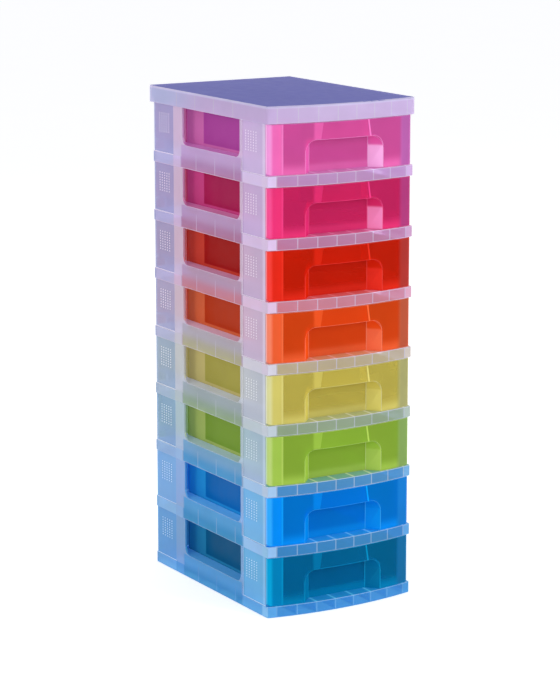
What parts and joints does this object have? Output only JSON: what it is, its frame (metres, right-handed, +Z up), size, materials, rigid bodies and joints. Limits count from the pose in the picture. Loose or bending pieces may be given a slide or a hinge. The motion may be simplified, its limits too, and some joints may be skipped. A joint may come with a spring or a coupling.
{
  "type": "plastic drawer tower",
  "caption": "Free-standing tower of stacked translucent plastic frames under a lid, each with a coloured drawer that pulls out by a finger recess in its bowed front",
  "frame": {"origin": "on the floor, under the middle of the tower's bounding box", "axes": "+Z up; the drawers face -Y and open towards -Y; +X is to the right of someone facing the tower"},
  "size_m": [0.298, 0.43, 0.886],
  "materials": {
    "lid_plastic": "smooth, blue-violet translucent moulding",
    "frame_plastic_1": "semi-gloss, milky translucent moulding",
    "frame_plastic_2": "semi-gloss, milky translucent moulding",
    "frame_plastic_3": "semi-gloss, milky translucent moulding",
    "frame_plastic_4": "semi-gloss, milky translucent moulding",
    "frame_plastic_5": "semi-gloss, milky translucent moulding",
    "frame_plastic_6": "semi-gloss, milky translucent moulding",
    "frame_plastic_7": "semi-gloss, milky translucent moulding",
    "frame_plastic_8": "semi-gloss, milky translucent moulding",
    "teal_plastic": "semi-gloss, teal translucent moulding",
    "blue_plastic": "semi-gloss, blue translucent moulding",
    "green_plastic": "semi-gloss, green translucent moulding",
    "yellow_plastic": "semi-gloss, yellow translucent moulding",
    "orange_plastic": "semi-gloss, orange translucent moulding",
    "red_plastic": "semi-gloss, red translucent moulding",
    "magenta_plastic": "semi-gloss, magenta translucent moulding",
    "pink_plastic": "semi-gloss, pink translucent moulding"
  },
  "bodies": {
    "tower": {"lid": "lid_plastic", "frame_1": "frame_plastic_1", "frame_2": "frame_plastic_2", "frame_3": "frame_plastic_3", "frame_4": "frame_plastic_4", "frame_5": "frame_plastic_5", "frame_6": "frame_plastic_6", "frame_7": "frame_plastic_7", "frame_8": "frame_plastic_8"},
    "teal_drawer": {"drawer_1": "teal_plastic"},
    "blue_drawer": {"drawer_2": "blue_plastic"},
    "green_drawer": {"drawer_3": "green_plastic"},
    "yellow_drawer": {"drawer_4": "yellow_plastic"},
    "orange_drawer": {"drawer_5": "orange_plastic"},
    "red_drawer": {"drawer_6": "red_plastic"},
    "magenta_drawer": {"drawer_7": "magenta_plastic"},
    "pink_drawer": {"drawer_8": "pink_plastic"}
  },
  "joints": [
    {"name": "teal_drawer_slide", "type": "slide", "parent": "tower", "child": "teal_drawer", "axis": [0, -1, 0], "range_m": [0, 0.3]},
    {"name": "blue_drawer_slide", "type": "slide", "parent": "tower", "child": "blue_drawer", "axis": [0, -1, 0], "range_m": [0, 0.3]},
    {"name": "green_drawer_slide", "type": "slide", "parent": "tower", "child": "green_drawer", "axis": [0, -1, 0], "range_m": [0, 0.3]},
    {"name": "yellow_drawer_slide", "type": "slide", "parent": "tower", "child": "yellow_drawer", "axis": [0, -1, 0], "range_m": [0, 0.3]},
    {"name": "orange_drawer_slide", "type": "slide", "parent": "tower", "child": "orange_drawer", "axis": [0, -1, 0], "range_m": [0, 0.3]},
    {"name": "red_drawer_slide", "type": "slide", "parent": "tower", "child": "red_drawer", "axis": [0, -1, 0], "range_m": [0, 0.3]},
    {"name": "magenta_drawer_slide", "type": "slide", "parent": "tower", "child": "magenta_drawer", "axis": [0, -1, 0], "range_m": [0, 0.3]},
    {"name": "pink_drawer_slide", "type": "slide", "parent": "tower", "child": "pink_drawer", "axis": [0, -1, 0], "range_m": [0, 0.3]}
  ]
}
